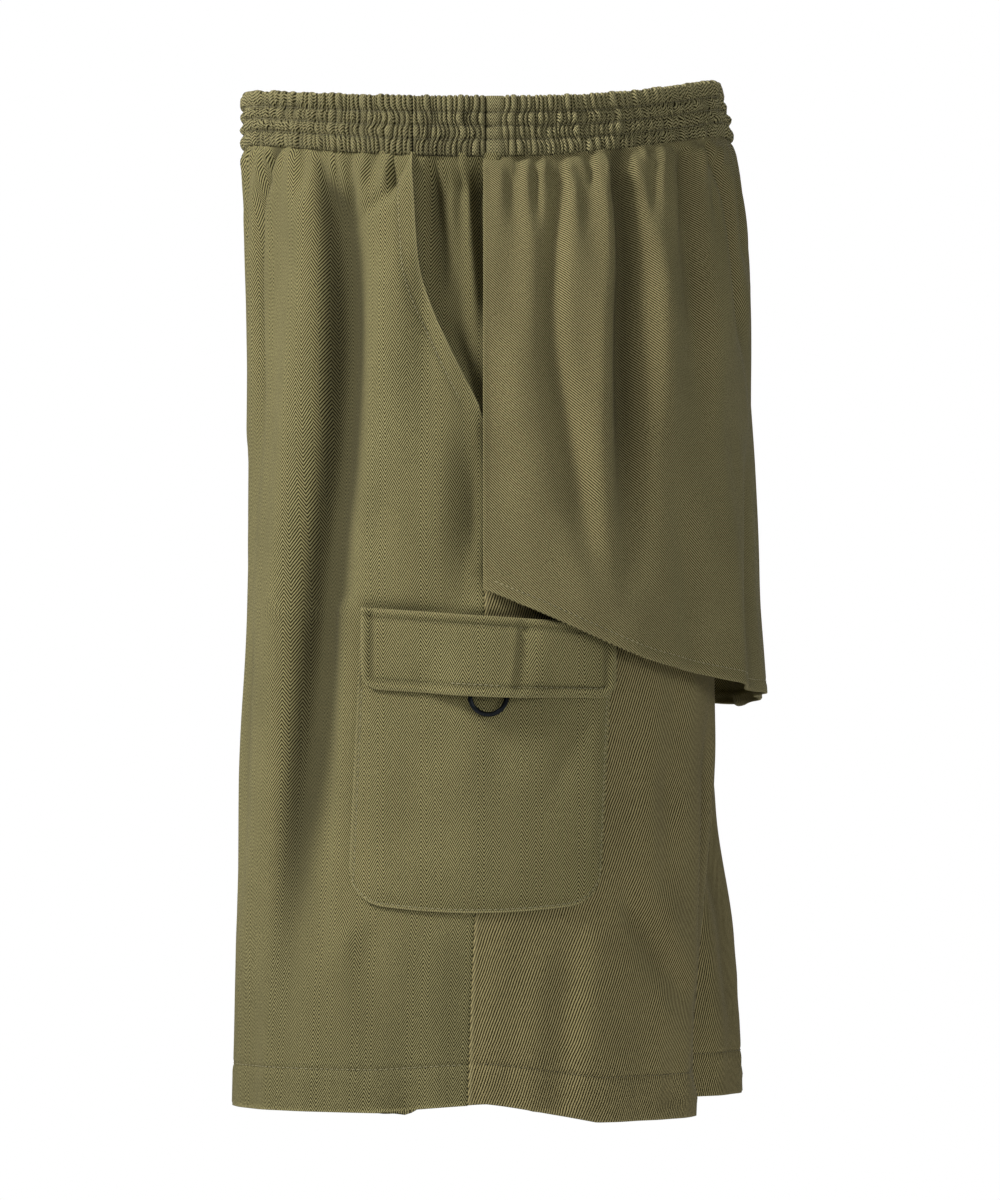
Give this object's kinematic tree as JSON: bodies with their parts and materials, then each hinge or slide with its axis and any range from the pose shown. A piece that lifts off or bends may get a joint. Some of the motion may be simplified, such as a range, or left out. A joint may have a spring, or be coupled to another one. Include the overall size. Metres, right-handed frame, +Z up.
{
  "type": "cargo shorts",
  "caption": "Pull-on cargo shorts in olive twill, gathered elastic waist, outer seat panel open below, slant pockets, flapped side pockets, each with a hanging D-ring.",
  "frame": {"origin": "on the body's centre line, at the middle of the waistband's height at the side", "axes": "+Z up, -Y to the front, +X to the wearer's left"},
  "size_m": [0.3964, 0.2937, 0.5646],
  "materials": {
    "front_cloth": "olive herringbone twill",
    "leg_cloth": "olive herringbone twill, steeper lines",
    "seat_cloth": "olive herringbone twill, finer and smoother",
    "pocket_cloth": "olive herringbone twill, edge stitched",
    "band_cloth": "shirred olive twill over elastic",
    "tape": "olive herringbone twill, folded",
    "ring_metal": "black lacquered wire"
  },
  "bodies": {
    "shorts": {"front_left": "front_cloth", "hip_left": "front_cloth", "back_leg_left": "leg_cloth", "cargo_pocket_left": "pocket_cloth", "cargo_flap_left": "pocket_cloth", "ring_tape_left": "tape", "band_hip_left": "band_cloth", "front_right": "front_cloth", "hip_right": "front_cloth", "back_leg_right": "leg_cloth", "cargo_pocket_right": "pocket_cloth", "cargo_flap_right": "pocket_cloth", "ring_tape_right": "tape", "band_hip_right": "band_cloth", "seat_flap": "seat_cloth", "band_front": "band_cloth", "band_back": "band_cloth"},
    "ring_left": {"d_ring_left": "ring_metal"},
    "ring_right": {"d_ring_right": "ring_metal"}
  },
  "joints": [
    {"name": "ring_swing_left", "type": "hinge", "parent": "shorts", "child": "ring_left", "pos_m": [0.19315, 0.0016, -0.306], "axis": [0, -1, 0], "range_deg": [-8, 40]},
    {"name": "ring_swing_right", "type": "hinge", "parent": "shorts", "child": "ring_right", "pos_m": [-0.19315, 0.0016, -0.306], "axis": [0, 1, 0], "range_deg": [-8, 40]}
  ]
}
